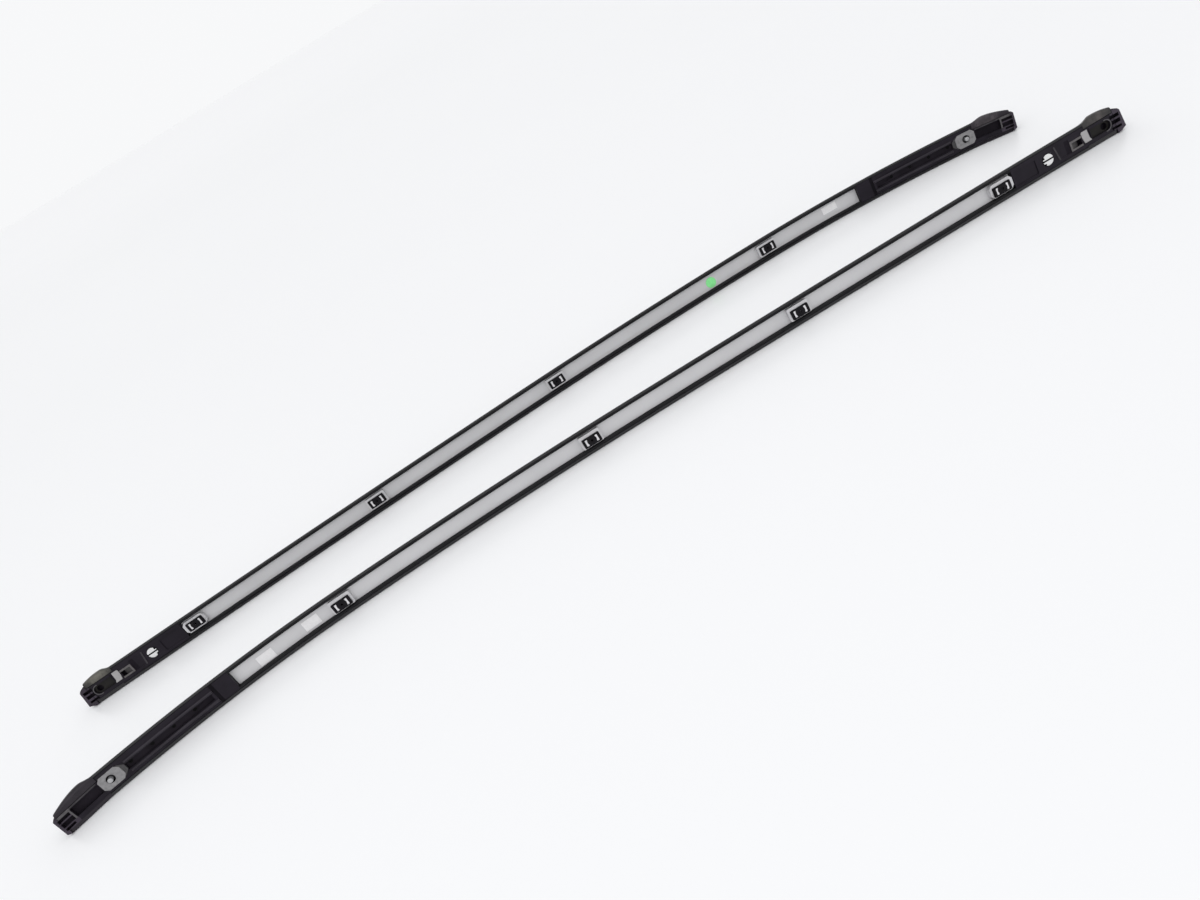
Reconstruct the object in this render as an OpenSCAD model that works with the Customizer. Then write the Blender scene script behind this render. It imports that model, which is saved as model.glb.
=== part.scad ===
// Roof side rail pair, lying on the floor as the pair came to rest.
// Each rail leans on its inner flank, with the underside facing the viewer.
// Sections are drawn as [height above the roof plane, distance to the outer side].
// Stations are measured along the rail, from the rear tip forwards.

/* [Rail] */
// Length of the nearly straight rear stretch
rear_run = 928; // [800:1:1100]
// Length of the gently bent middle stretch
mid_run = 537; // [450:1:700]
// Length of the strongly bent front stretch
front_run = 495.5; // [450:0.5:560]
// Bend radius of the rear stretch
rear_radius = 26500; // [15000:100:40000]
// Bend radius of the middle stretch
mid_radius = 6500; // [4000:50:9000]
// Bend radius of the front stretch
front_radius = 1870; // [1500:10:2600]

/* [Section] */
// Width of the rail over its lower edges
base_w = 46.3; // [45:0.1:52]
// Offset of the rail's middle from the channel's middle
base_shift = -0.85; // [-1.5:0.05:0.5]
// Height of the crown over the roof plane
rail_h = 30; // [28:0.5:36]
// Lean of both flanks from upright
flank_lean = 15; // [10:0.5:18]
// Wall of the extrusion
wall = 2.5; // [1.8:0.1:3]
// Radius of the lower edges
corner_r = 2.5; // [1.5:0.1:3]
// Radius of the shoulders
shoulder_r = 8; // [6:0.5:10]
// Radius of the crown
crown_r = 36; // [32:1:60]
// Width of each rim beside the channel, middled
rim_w = 5.65; // [5:0.05:6.5]
// Depth of the channel underneath
channel_d = 11; // [10:0.5:12]

/* [Strip and seals] */
// Width of each rubber seal beside the silver strip
seal_w = 3.83; // [3.4:0.01:4.5]
// Thickness of the silver strip
strip_t = 2; // [1.5:0.1:2.5]
// How far the rounded seal lips stand out of the channel
seal_lip = 0.9; // [0.4:0.1:1.5]
// Thickness of the stickers
sticker_t = 0.3; // [0.2:0.05:0.4]

/* [Clips] */
// Length of a silver clip seat
seat_l = 38; // [34:0.5:42]
// How far a silver clip seat stays inside the strip's edges
seat_in = 2.47; // [1.5:0.01:3.5]
// Height of a silver clip seat
seat_h = 10; // [8:0.5:11]
// Length of a clip frame
frame_l = 31.5; // [28:0.5:33]
// Width of a clip frame
frame_w = 16; // [14:0.5:18]
// Height of a clip frame
frame_h = 3.5; // [3:0.1:5]
// Length of a window of the clip frame across the rail
window_w = 11.3; // [9:0.1:12]

/* [Front foot] */
// How far the foot face stands out of the channel
foot_out = 0.6; // [0:0.1:1.5]
// Width of the trough
trough_w = 10.6; // [9:0.1:12]
// Depth of the trough
trough_d = 5; // [3:0.5:6]
// Width of the ridges beside the trough
ridge_w = 4.8; // [4:0.2:5.4]
// Shank diameter of the foot screws
screw_d = 3; // [2.5:0.1:3.5]
// Distance from one foot screw to the next
screw_pitch = 36.7; // [34:0.1:38]
// Length of the steel plate
plate_l = 35; // [32:0.5:37]
// Width of the steel plate
plate_w = 25; // [22:0.5:26]
// Thickness of the steel plate
plate_t = 2.5; // [2:0.1:3]
// Diameter of the hole in the steel plate
plate_hole_d = 13; // [12:0.1:14]
// Diameter of the stud
stud_d = 8; // [6:0.5:8]
// How far the stud stands out of the steel plate
stud_out = 6; // [4:0.5:20]

/* [Rear foot] */
// Diameter of the nylon plug
plug_d = 18.2; // [16:0.1:20]
// Width of the slot in the nylon plug
plug_slot = 2.6; // [1.5:0.1:3.2]
// Length of the grey tab
tab_l = 15; // [12:0.5:16]
// Width of the grey tab
tab_w = 17; // [14:0.5:18]
// Length of the window frame
wframe_l = 21.6; // [18:0.1:23]
// Width of the window frame
wframe_w = 16.2; // [13:0.1:17]

/* [Covers] */
// Wall of the end covers
cover_wall = 4.3; // [3.9:0.1:5]
// How far the front lobe stands out of the rail's edge
front_lobe = 5; // [3:0.1:8]
// How far the rear lobe stands out of the rail's edge
rear_lobe = 5.6; // [3:0.1:8]
// Height of the front cover at its tip
front_tip_h = 16; // [15:0.5:20]
// Height of the rear cover at its tip
rear_tip_h = 18; // [17:0.5:22]
// How far the front cover points down from the line of the rail
nose_droop = 6; // [0:0.5:8]
// Play between the covers' spigots and the extrusion
spigot_play = 0.3; // [0.2:0.05:0.5]

/* [Hidden] */
seat_gap = 0.02;   // working gap where one fixed piece bears on another
fit_gap = 0.3;     // gap between a piece and the pocket it sits in
bend_tol = 0.1;    // how far the drawn facets may leave a bend
web_t = 2.5;
root_cut = 1.2;    // cut corners where the hollow's walls meet the web
tilt = flank_lean; // the rail rests on its inner flank
joint1 = rear_run;
joint2 = rear_run + mid_run;
rail_l = rear_run + mid_run + front_run;
channel_w = base_w - 2 * rim_w;
strip_w = channel_w - 2 * (seal_w + 0.1);
seat_w = strip_w - 2 * seat_in;
foot_w = channel_w - 2 * fit_gap;
sticker_gap = 0.3; // stickers clear the gently curved strip
base_z = (base_w/2 - base_shift) * cos(tilt);
outer_edge = base_w/2 + base_shift;
inner_edge = base_w/2 - base_shift;
web_top = channel_d + web_t;

// Stations of the pieces along the rail
rear_shell_end = 66;
front_shell_end = rail_l - 71;
strip_start = 201.5;
front_foot_l = 297.5; // from the strip's end to the nose
strip_end = rail_l - front_foot_l;
front_cover_end = rail_l - 5.3;
rear_cover_end = 14;
front_clip_in = 493.1; // front clip, measured from the nose
clip_at = [224.8, 605, 998.5, rail_l - front_clip_in];
stud_at = rail_l - 86;
plate_at = stud_at - 1;
screw_at = rail_l - 118.5;
plug_at = 137;
tab_at = 66;
wframe_at = 84.5;

function deg(x) = x * 180 / PI;
function bend_fn(r) = ceil(180 / acos(1 - bend_tol / r));
mid_turn = deg(mid_run / mid_radius);

nose_at = front_shell_end;
nose_turn = 8;     // length over which the nose bends down

// Stickers: first and last station measured back from the strip's end, then both side limits
right_label_at = [71, 42, -3.4, 9.9];
left_labels_at = [[69, 41, -12.2, 4.4], [153.3, 125.4, -9.7, 7]];
dot_d = 20;
dot_at = [318, -2]; // back from the strip's end, and to the outer side

// Place and heading of a station, seen from the joint of the rear and middle stretches
function turn_at(s) = s < joint1 ? deg((joint1 - s) / rear_radius)
    : s < joint2 ? -deg((s - joint1) / mid_radius)
    : -mid_turn - deg((min(s, nose_at) - joint2) / front_radius)
        - nose_droop * min(1, max(0, (s - nose_at) / nose_turn));
function side(a) = [-sin(a), cos(a)];
function place(s) = let (a = turn_at(s))
    s < joint1 ? rear_radius * (side(a) - [0, 1])
    : s < joint2 ? mid_radius * (side(a) - [0, 1])
    : s <= nose_at ? [0, -mid_radius] + (mid_radius - front_radius) * side(-mid_turn) + front_radius * side(a)
    : let (d = s - nose_at, m = turn_at(nose_at), t = min(d, nose_turn), h = m - nose_droop * t / nose_turn / 2)
        place(nose_at) + t * [cos(h), sin(h)] + (d - t) * [cos(a), sin(a)];
function radius_at(s) = s < joint1 ? rear_radius : s < joint2 ? mid_radius : front_radius;

// Points along an arc, from angle a1 to a2 in n steps
function arc_pts(c, r, a1, a2, n) =
    [for (i = [0:n]) let (a = a1 + (a2 - a1) * i / n) c + r * [cos(a), sin(a)]];
function flip(p) = [for (i = [len(p) - 1:-1:0]) [p[i].x, -p[i].y]];

// Centre of the shoulder arc: it touches the leaning flank and the crown arc from inside
function shoulder_at(half, top, rs, rc) =
    let (n = tan(flank_lean), m = half - rs / cos(flank_lean), hc = top - rc, k = rc - rs,
         a = 1 + n*n, b = -2*hc - 2*m*n, c = hc*hc + m*m - k*k,
         h = (-b + sqrt(b*b - 4*a*c)) / (2*a)) [h, m - n*h];

// Outline of the rail: lower corners, leaning flanks, shoulders and crown
function outline(half, top, rs = shoulder_r, rc = crown_r, rb = corner_r) =
    let (lean = flank_lean,
         sh = shoulder_at(half, top, rs, rc),
         hc = [top - rc, 0],
         cb = [rb, half - rb * (1 + sin(lean)) / cos(lean)],
         ua = atan2(sh.y, sh.x - hc.x),
         flank = concat(arc_pts(cb, rb, 180, 90 - lean, 3), arc_pts(sh, rs, 90 - lean, ua, 4)),
         crown = arc_pts(hc, rc, ua, -ua, 8))
    concat(flank, [for (i = [1:7]) crown[i]], flip(flank));

// Sweep of a section round one bend, starting at the local origin
module swing(r, turn) {
    translate([0, -r, 0]) rotate([0, 0, 90])
        rotate_extrude(angle = turn, $fn = bend_fn(r))
            translate([r, 0]) rotate(-tilt) children();
}
module second_joint() {
    translate([0, -mid_radius, 0]) rotate([0, 0, -mid_turn]) translate([0, mid_radius, 0]) children();
}
// Sweep along all three stretches; they meet exactly at the two joints
module full_run(s1, s2) {
    difference() {
        swing(rear_radius, deg((joint1 - s1 + 26) / rear_radius)) children();
        station(s1) translate([-60, -100, -100]) cube([60, 200, 200]);
    }
    difference() {
        swing(mid_radius, -mid_turn - 0.2) children();
        second_joint() translate([0, -100, -100]) cube([60, 200, 200]);
    }
    second_joint() swing(front_radius, -deg((s2 - joint2) / front_radius)) children();
}
// Level frame at a station: x forwards, y to the crown side
module station(s) {
    p = place(s);
    translate([p.x, p.y, 0]) rotate([0, 0, turn_at(s)]) children();
}
// Sweep within one stretch
module bend(s1, s2) {
    station(s1) swing(radius_at(s1), -deg((s2 - s1) / radius_at(s1))) children();
}
// Rail frame at a station: x forwards, y up the rail's height, z to the outer side
module at(s) { station(s) rotate([-tilt, 0, 0]) children(); }
// Flat shape drawn as [forwards, outwards], filling heights h1 to h2
module slab(s, h1, h2) {
    at(s) rotate([90, 0, 0]) translate([0, 0, -h2]) linear_extrude(h2 - h1) children();
}
// Side shape drawn as [forwards, height], filling v1 to v2
module profile(s, v1, v2) {
    at(s) translate([0, 0, v1]) linear_extrude(v2 - v1) children();
}
// Shift of what stands at a station towards the outer side
module translate_out(s, v) {
    a = turn_at(s);
    translate([-sin(a) * sin(tilt) * v, cos(a) * sin(tilt) * v, cos(tilt) * v]) children();
}
module drill(s, v, d, h1, h2, n = 32) { slab(s, h1, h2) translate([0, v]) circle(d = d, $fn = n); }

// Everything below the floor that the inner flank rests on
module under_floor(s) { station(s) translate([-40, -70, -base_z - 20]) cube([80, 140, 20]); }

module box2(x1, x2, y1, y2) { translate([x1, y1]) square([x2 - x1, y2 - y1]); }
module rounded2(x1, x2, y1, y2, r) {
    box2(x1 + r, x2 - r, y1, y2);
    box2(x1, x2, y1 + r, y2 - r);
    for (x = [x1 + r, x2 - r], y = [y1 + r, y2 - r]) translate([x, y]) circle(r, $fn = 20);
}
module chamfered2(x1, x2, y1, y2, c) {
    polygon([[x1 + c, y1], [x2 - c, y1], [x2, y1 + c], [x2, y2 - c],
             [x2 - c, y2], [x1 + c, y2], [x1, y2 - c], [x1, y1 + c]]);
}

// Extrusion

// Points of the rail's own outline, closed underneath by the channel
function shell_points() =
    let (hi = channel_w/2 - base_shift, lo = -channel_w/2 - base_shift)
    concat(outline(base_w/2, rail_h), [[0, lo], [channel_d, lo], [channel_d, hi], [0, hi]]);
// Hollow over the channel, drawn inwards from the outline by the inset
module chamber2(inset) {
    low = web_top + inset - wall;
    half = base_w/2 - inset / cos(flank_lean);
    up = outline(half, rail_h - inset, shoulder_r - inset, crown_r - inset, 1);
    n = len(up);
    edge = half - low * tan(flank_lean);
    foot = [[low, edge - root_cut], [low + root_cut, edge - root_cut * tan(flank_lean)]];
    translate([0, base_shift])
        polygon(concat(foot, [for (i = [4:n - 5]) up[i]], flip(foot)));
}
module rail_shell() {
    color("#0e0f11") difference() {
        full_run(rear_shell_end, front_shell_end)
            difference() {
                translate([0, base_shift]) polygon(shell_points());
                chamber2(wall);
            }
        for (i = [0:3]) drill(screw_at - i * screw_pitch, 0, screw_d + 0.4, channel_d - 1, web_top + 1, 24);
    }
}

// Strip, seals and stickers

module carrier_strip() {
    color("#b4b4b2") full_run(strip_start, strip_end)
        translate([channel_d - seat_gap - strip_t, -strip_w/2]) square([strip_t, strip_w]);
}
module seal(hand) {
    w = seal_w;
    color("#141416") full_run(strip_start, strip_end)
        translate([0, hand * (channel_w/2 - seat_gap - w/2)]) {
            translate([w/2 - seal_lip, -w/2]) square([channel_d - seat_gap - w/2 + seal_lip, w]);
            translate([w/2 - seal_lip, 0]) circle(w/2, $fn = 24);
        }
}
strip_face = channel_d - seat_gap - strip_t;
module sticker(p) {
    color("#e8e8e4") bend(strip_end - p[0], strip_end - p[1])
        translate([strip_face - sticker_gap - sticker_t, p[2]]) square([sticker_t, p[3] - p[2]]);
}

// Clips

seat_top = strip_face - seat_gap - seat_h;
frame_face = seat_top - seat_gap - frame_h;
module clip_seat(s) {
    first = s < strip_start + seat_l;
    c = first ? 5 : 1.5;
    back = first ? -seat_l/2 - 3.4 : -seat_l/2;
    intersection() {
        bend(s - seat_l, s + seat_l) translate([-frame_w, -base_w/2])
            square([frame_w + strip_face - seat_gap, base_w]);
        union() {
            slab(s, seat_top + 1, channel_d) chamfered2(back, seat_l/2, -seat_w/2 - 0.4, seat_w/2 - 0.4, c);
            slab(s, seat_top, seat_top + 2)
                chamfered2(back + 1.2, seat_l/2 - 1.2, -seat_w/2 + 0.8, seat_w/2 - 1.6, c);
        }
    }
}
boss_d = 13.4;
window_c = 9.2;
window_l = 4.2;
right_slip = -0.7; // where the clip frames sit beside the strip's middle
left_slip = -2;
module windows2(grow) {
    for (side = [-1, 1]) difference() {
        translate([side * window_c, 0])
            square([window_l + 2 * grow, window_w + 2 * grow], center = true);
        translate([side * (window_c - window_l/2 - boss_d/2 + 1 - grow), 0]) circle(d = boss_d, $fn = 40);
    }
}
module clip_frame(s, slip) {
    translate_out(s, slip) difference() {
        union() {
            slab(s, frame_face + 0.8, frame_face + frame_h) rounded2(-frame_l/2, frame_l/2, -frame_w/2, frame_w/2, 1.5);
            slab(s, frame_face, frame_face + 1.6)
                rounded2(-frame_l/2 + 0.8, frame_l/2 - 0.8, -frame_w/2 + 0.8, frame_w/2 - 0.8, 1.5);
        }
        slab(s, frame_face - 1, frame_face + frame_h) windows2(0);
        slab(s, frame_face + frame_h - 1.4, frame_face + frame_h + 1)
            square([2 * window_c + window_l + 1, window_w + 1], center = true);
        drill(s, 0, 3.6, frame_face - 1, frame_face + frame_h + 1, 24);
    }
}
module clip_wing(s, slip) {
    translate_out(s, slip) difference() {
        union() {
            slab(s, frame_face + frame_h - 1.3, frame_face + frame_h)
                square([2 * window_c + window_l, window_w], center = true);
            slab(s, frame_face + 1.1, frame_face + frame_h - 0.6) windows2(-0.1);
        }
        drill(s, 0, 4.4, frame_face, frame_face + frame_h + 1, 24);
    }
}
module clip_seats() { color("#a9a9a6") for (s = clip_at) clip_seat(s); }
module clip_frames(slip) { color("#101112") for (s = clip_at) clip_frame(s, slip); }
module clip_wings(slip) { color("#e6e6e2") for (s = clip_at) clip_wing(s, slip); }

// Front foot

foot_face = -foot_out;
foot_top = channel_d - seat_gap;
tongue_out = 9.7;   // outer side of both tongues inside the covers
tongue_in = -16.5;
seam_gap = 0.8;     // open seam between the covers and the feet
plate_face = foot_face + 1 - plate_t;
module foot_section() {
    w = foot_w / 2;
    polygon([[foot_top, -w], [foot_face + 1, -w], [foot_face, -w + 1],
             [foot_face, w - 1], [foot_face + 1, w], [foot_top, w]]);
}
module plate_outline(grow) {
    chamfered2(-plate_l/2 - grow, plate_l/2 + grow, -plate_w/2 - 0.5 - grow, plate_w/2 - 0.5 + grow, 5);
}
module tongue_outline(grow) {
    x = -plate_l/2 - 6.5 - grow;
    side = plate_w/2 - 2 + grow;
    polygon([[x, -5 - grow], [x, 4 + grow], [-plate_l/2 + 1.5, side], [0, side],
             [0, -side - 1], [-plate_l/2 + 1.5, -side - 1]]);
}
trough_v = -2;      // middle of the trough
module front_foot() {
    s0 = front_shell_end;
    ridge_v = trough_w/2 + 0.9 + ridge_w/2;
    color("#18191b") difference() {
        union() {
            difference() {
                bend(strip_end + 0.3, s0 + 6) foot_section();
                // sides of the tongue that goes into the cover
                slab(s0, -9, channel_d + 9) {
                    box2(-1, 20, tongue_out, base_w);
                    box2(-1, 20, -base_w, tongue_in);
                }
            }
            slab(front_cover_end + 0.4, foot_face, foot_top) box2(s0 - front_cover_end + 0.1, 1, tongue_in, tongue_out);
            for (v = [trough_v - ridge_v, trough_v + ridge_v]) bend(strip_end + 33, strip_end + 185)
                translate([foot_face + 1, v]) {
                    circle(d = ridge_w, $fn = 20);
                    translate([0, -ridge_w/2]) square([3, ridge_w]);
                }
            // end block and the wall behind the pocket
            slab(front_cover_end + 0.4, foot_face - 1.6, channel_d + 1)
                polygon([[0, 16.2], [2, 12.2], [5.4, 9], [6, -19], [0.8, -21.8], [0, -22.2]]);
            slab(front_cover_end, foot_face - 0.6, 8) box2(-18.2, -15.8, -9.8, 7.4);
        }
        under_floor(front_cover_end);
        // trough
        bend(strip_end + 37, strip_end + 187)
            translate([foot_face - 3, trough_v - trough_w/2]) square([trough_d + 3, trough_w]);
        for (i = [0:3]) {
            drill(screw_at - i * screw_pitch, 0, screw_d + 0.4, 0, channel_d + 1, 24);
            drill(screw_at - i * screw_pitch, 0, 2 * screw_d + 0.6, 0, foot_face + trough_d + 2.2, 24);
        }
        // bed of the plate and room for the stud and its head
        slab(plate_at, foot_face - 3, foot_face + 1) {
            plate_outline(0.2);
            tongue_outline(0.2);
        }
        drill(stud_at, 0, plate_hole_d, foot_face, 5, 40);
        drill(stud_at, 0, stud_d + 0.6, 4, channel_d, 40);
        drill(stud_at, 0, stud_d + 6.6, channel_d - 3.4, channel_d + 1, 40);
        // pocket, slots between the ribs
        slab(front_cover_end, foot_face - 3, 8) rounded2(-62.5, -18.2, -9.3, 7, 1.5);
        slab(front_cover_end, foot_face - 3, 6) {
            box2(-15.8, 2.6, 0.5, 5.5);
            box2(-15.8, 2.6, -8.8, -1.7);
            box2(-12, 2.6, -14.8, -11);
        }
    }
}
module foot_screws() {
    head_h = foot_face + trough_d + 2.2 - seat_gap;
    color("#26282a") for (i = [0:3]) {
        s = screw_at - i * screw_pitch;
        difference() {
            union() {
                drill(s, 0, 2 * screw_d, head_h - 2, head_h, 24);
                drill(s, 0, screw_d, head_h - 1, web_top + 3, 24);
            }
            slab(s, head_h - 3, head_h - 0.9) circle(d = screw_d, $fn = 6);
        }
    }
}
module front_plate() {
    color("#8b8f92") difference() {
        union() {
            slab(plate_at, plate_face, plate_face + plate_t - seat_gap) plate_outline(0);
            slab(plate_at, plate_face + plate_t - 1.2, plate_face + plate_t - seat_gap) tongue_outline(0);
        }
        drill(stud_at, 0, plate_hole_d, plate_face - 1, plate_face + plate_t + 1, 48);
    }
}
module front_stud() {
    color("#c0c4c6") {
        drill(stud_at, 0, stud_d, plate_face - stud_out + 1, plate_face, 48);
        drill(stud_at, 0, stud_d - 0.6, plate_face - 0.5, channel_d - 3, 48);
        at(stud_at) translate([0, plate_face - stud_out, 0]) rotate([-90, 0, 0])
            cylinder(h = 1, d1 = stud_d - 1.6, d2 = stud_d, $fn = 48);
        drill(stud_at, 0, stud_d + 6, channel_d - 3.4 + seat_gap, foot_top - seat_gap, 48);
    }
}

// Covers, lofted from rings of the rail outline

function point3(s, h, v) = let (p = place(s), a = turn_at(s), y = h * cos(tilt) + v * sin(tilt))
    [p.x - y * sin(a), p.y + y * cos(a), v * cos(tilt) - h * sin(tilt)];
function tween(a, b, t, bow) = a + (b - a) * pow(max(0, t), bow);
// Outer edge, inner edge and top of the covers at a distance from the extrusion
function lobe(d, crest_d, crest, end_d, end_v, bow) = d < crest_d
    ? outer_edge + crest * pow(sin(90 * max(0, d) / crest_d), 2)
    : tween(outer_edge + crest, end_v, (d - crest_d) / (end_d - crest_d), bow);
module loft(sign, s0, length, crest_d, crest, end_v, tip_h, inset, rings) {
    n = len(outline(base_w/2, rail_h));
    points = [for (k = [0:rings]) let (
            d = length * k / rings, s = s0 + sign * d,
            edge = lobe(d, crest_d, crest, length, end_v, sign > 0 ? 1.8 : 2.4), v2 = min(edge, outer_edge), v1 = -inner_edge,
            half = (v2 - v1) / 2 - inset / cos(flank_lean),
            top = tween(rail_h, tip_h, d / length, 1.7) - inset,
            ring = outline(half, top, max(3, shoulder_r - inset), crown_r - inset, inset > 0 ? 1 : corner_r))
        // only the lower edge swells out to the lobe, the crown keeps its line
        for (i = [0:n - 1]) point3(s, ring[i].x, ring[i].y + (v2 + v1) / 2 + (i < 4 ? edge - v2 : 0))];
    walls = [for (k = [0:rings - 1], i = [0:n - 1]) let (
            a = k * n + i, b = k * n + (i + 1) % n, c = a + n, e = b + n)
        each [[a, b, e], [a, e, c]]];
    caps = [[for (i = [n - 1:-1:0]) i], [for (i = [0:n - 1]) rings * n + i]];
    faces = concat(walls, caps);
    polyhedron(points, sign < 0 ? [for (f = faces) [for (i = [len(f) - 1:-1:0]) f[i]]] : faces);
}
module spigot(s1, s2) {
    bend(s1, s2) difference() {
        chamber2(wall + spigot_play);
        chamber2(wall + spigot_play + 2);
    }
}
module front_cover() {
    s0 = front_shell_end + seat_gap;
    l = front_cover_end - s0;
    color("#141517") {
        difference() {
            loft(1, s0, l, 22, front_lobe, 17, front_tip_h, 0, 10);
            intersection() {
                loft(1, s0 - 1, l - 8, 28.5, 0, 18, front_tip_h + 3, cover_wall, 6);
                slab(front_cover_end, web_top + 1, rail_h + 5) box2(-l - 8, 0, -base_w, base_w);
            }
            slab(front_cover_end, -9, channel_d + fit_gap)
                box2(-l - 5, 9, tongue_in - fit_gap, tongue_out + seam_gap);
        }
        spigot(s0 - 20, s0 + 3);
    }
}
module rear_cover() {
    s0 = rear_shell_end - seat_gap;
    l = s0 - rear_cover_end;
    color("#141517") {
        difference() {
            loft(-1, s0, l, 20, rear_lobe, 22.6, rear_tip_h, 0, 10);
            intersection() {
                loft(-1, s0 + 1, l - 8, 27, 0, 21, rear_tip_h + 3, cover_wall, 6);
                slab(s0, web_top + 1, rail_h + 5) box2(-l, 5, -base_w, base_w);
            }
            slab(s0, -9, channel_d + fit_gap) box2(-l - 9, 5, tongue_in - fit_gap, tongue_out + 2 + seam_gap);
        }
        spigot(s0 - 3, s0 + 20);
    }
}

// Rear foot

wframe_v = -2.6;   // middle of the window frame
plug_v = -0.8;     // middle of the plug
module rear_foot() {
    s0 = rear_shell_end;
    color("#18191b") difference() {
        union() {
            bend(10, strip_start - 0.3) foot_section();
            slab(rear_cover_end - 0.4, foot_face - 1.2, channel_d + 1)
                polygon([[0, 19.5], [-2, 17.6], [-9, 14.4], [-12, 11.2], [-15.4, -17.6],
                         [-11, -19.4], [-5, -22.4], [0, -22.8]]);
            // raised rim round the closed end of the pocket, and the rib before the plug
            slab(29.5, foot_face - 0.6, 3) difference() {
                translate([0, -1.5]) circle(9.9, $fn = 48);
                box2(2, 12, -13, 10);
            }
            slab(121, foot_face - 0.6, 3) polygon([[-4.4, -12], [-1.8, -12], [2.6, 12], [0, 12]]);
        }
        under_floor(rear_cover_end);
        slab(s0, -9, channel_d + 9) {
            box2(rear_cover_end - 0.4 - s0, 1, tongue_out + 2, base_w);
            box2(rear_cover_end - 0.4 - s0, 1, -base_w, tongue_in);
        }
        // pocket, deep hole, slots between the ribs
        slab(29.5, foot_face - 3, 3.4) {
            translate([0, -1.5]) circle(8.2, $fn = 48);
            box2(0, 27.5, -9.2, 6.6);
        }
        drill(30.5, -1.5, 11, foot_face - 3, 9, 36);
        slab(rear_cover_end, foot_face - 3, 6) {
            box2(-9.5, 6.4, 2.8, 8.4);
            box2(-9.5, 5.6, -6.4, -0.2);
            box2(-9.5, 7, -14.6, -10.6);
        }
        // tab bed and window with a sloping floor
        slab(tab_at, foot_face - 3, foot_face + 0.8)
            box2(-tab_l/2 - 0.7, tab_l/2 + 0.2, -tab_w/2 - 1.2, tab_w/2 + 1.2);
        slab(wframe_at, foot_face - 3, foot_face + 0.8)
            box2(-wframe_l/2 - 0.2, wframe_l/2 + 0.2, -wframe_w/2 + wframe_v - 0.2, wframe_w/2 + wframe_v + 0.2);
        profile(wframe_at, -wframe_w/2 + wframe_v + 3, wframe_w/2 + wframe_v - 3.4)
            polygon([[-wframe_l/2 + 0.6, foot_face - 3], [wframe_l/2 - 3, foot_face - 3], [wframe_l/2 - 3, 1],
                     [-5, 4.5], [-5, 9], [-wframe_l/2 + 0.6, 9]]);
        // shallow recesses
        slab(107.5, foot_face - 3, foot_face + 0.7) box2(-11.5, 7, -11, 11);
        slab(181, foot_face - 3, foot_face + 1.2) rounded2(-23, 18, -13.2, 10.4, 2);
        // plug hole
        drill(plug_at, plug_v, plug_d + 1.6, foot_face - 3, 9, 48);
    }
}
module rear_tab() {
    x = tab_l / 2;
    y = tab_w / 2;
    color("#9a9a98") slab(tab_at, foot_face - 0.7, foot_face + 0.8 - seat_gap)
        polygon([[-0.55*x, 1.15*y], [0.83*x, 1.15*y], [0.96*x, 0.88*y], [0.88*x, 0],
                 [0.55*x, -1.1*y], [-1.07*x, -1.1*y], [-0.72*x, -0.5*y]]);
}
module window_frame() {
    color("#6f6a60") slab(wframe_at, foot_face - 0.5, foot_face + 0.8 - seat_gap) difference() {
        box2(-wframe_l/2, wframe_l/2, -wframe_w/2 + wframe_v, wframe_w/2 + wframe_v);
        box2(-wframe_l/2 - 1, wframe_l/2 - 3, -wframe_w/2 + wframe_v + 3, wframe_w/2 + wframe_v - 3.4);
    }
}
module locating_plug() {
    color("#ededea") difference() {
        union() {
            drill(plug_at, plug_v, plug_d, foot_face - 0.6, 9 - seat_gap, 48);
            drill(plug_at, plug_v, plug_d - 1.6, foot_face - 1.6, foot_face, 48);
        }
        slab(plug_at, foot_face - 3, 7.4) {
            box2(-plug_d, plug_d, plug_v - plug_slot/2, plug_v + plug_slot/2);
            box2(plug_d/2 - 3, plug_d, plug_v + plug_slot/2 + 1.8, plug_d);
            box2(plug_d/2 - 4, plug_d, -plug_d, plug_v - plug_slot/2 - 3);
        }
    }
}

// Where each rail lies: place and heading of its first joint

right_pos = [-72.498, 170.567]; // right rail, front end to the right
right_yaw = 5.204;
left_pos = [67.852, -64.463];   // left rail, front end to the left
left_yaw = 1.296;
module on_right() { translate([right_pos.x, right_pos.y, base_z]) rotate([0, 0, right_yaw]) children(); }
module on_left() {
    translate([left_pos.x, left_pos.y, base_z]) rotate([0, 0, left_yaw]) mirror([1, 0, 0]) children();
}

module right_rail_shell() { on_right() rail_shell(); }
module right_carrier_strip() { on_right() carrier_strip(); }
module right_outer_seal() { on_right() seal(1); }
module right_inner_seal() { on_right() seal(-1); }
module right_clip_seats() { on_right() clip_seats(); }
module right_clip_frames() { on_right() clip_frames(right_slip); }
module right_clip_wings() { on_right() clip_wings(right_slip); }
module right_front_foot() { on_right() front_foot(); }
module right_foot_screws() { on_right() foot_screws(); }
module right_front_plate() { on_right() front_plate(); }
module right_front_stud() { on_right() front_stud(); }
module right_front_cover() { on_right() front_cover(); }
module right_rear_foot() { on_right() rear_foot(); }
module right_rear_tab() { on_right() rear_tab(); }
module right_window_frame() { on_right() window_frame(); }
module right_locating_plug() { on_right() locating_plug(); }
module right_rear_cover() { on_right() rear_cover(); }
module right_label() { on_right() sticker(right_label_at); }
module right_green_dot() {
    s = strip_end - dot_at[0];
    color("#35e04a") on_right() intersection() {
        bend(s - dot_d, s + dot_d)
            translate([strip_face - sticker_gap - sticker_t, -dot_d]) square([sticker_t, 2 * dot_d]);
        drill(s, dot_at[1], dot_d, 0, channel_d, 32);
    }
}
module left_rail_shell() { on_left() rail_shell(); }
module left_carrier_strip() { on_left() carrier_strip(); }
module left_outer_seal() { on_left() seal(1); }
module left_inner_seal() { on_left() seal(-1); }
module left_clip_seats() { on_left() clip_seats(); }
module left_clip_frames() { on_left() clip_frames(left_slip); }
module left_clip_wings() { on_left() clip_wings(left_slip); }
module left_front_foot() { on_left() front_foot(); }
module left_foot_screws() { on_left() foot_screws(); }
module left_front_plate() { on_left() front_plate(); }
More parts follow.
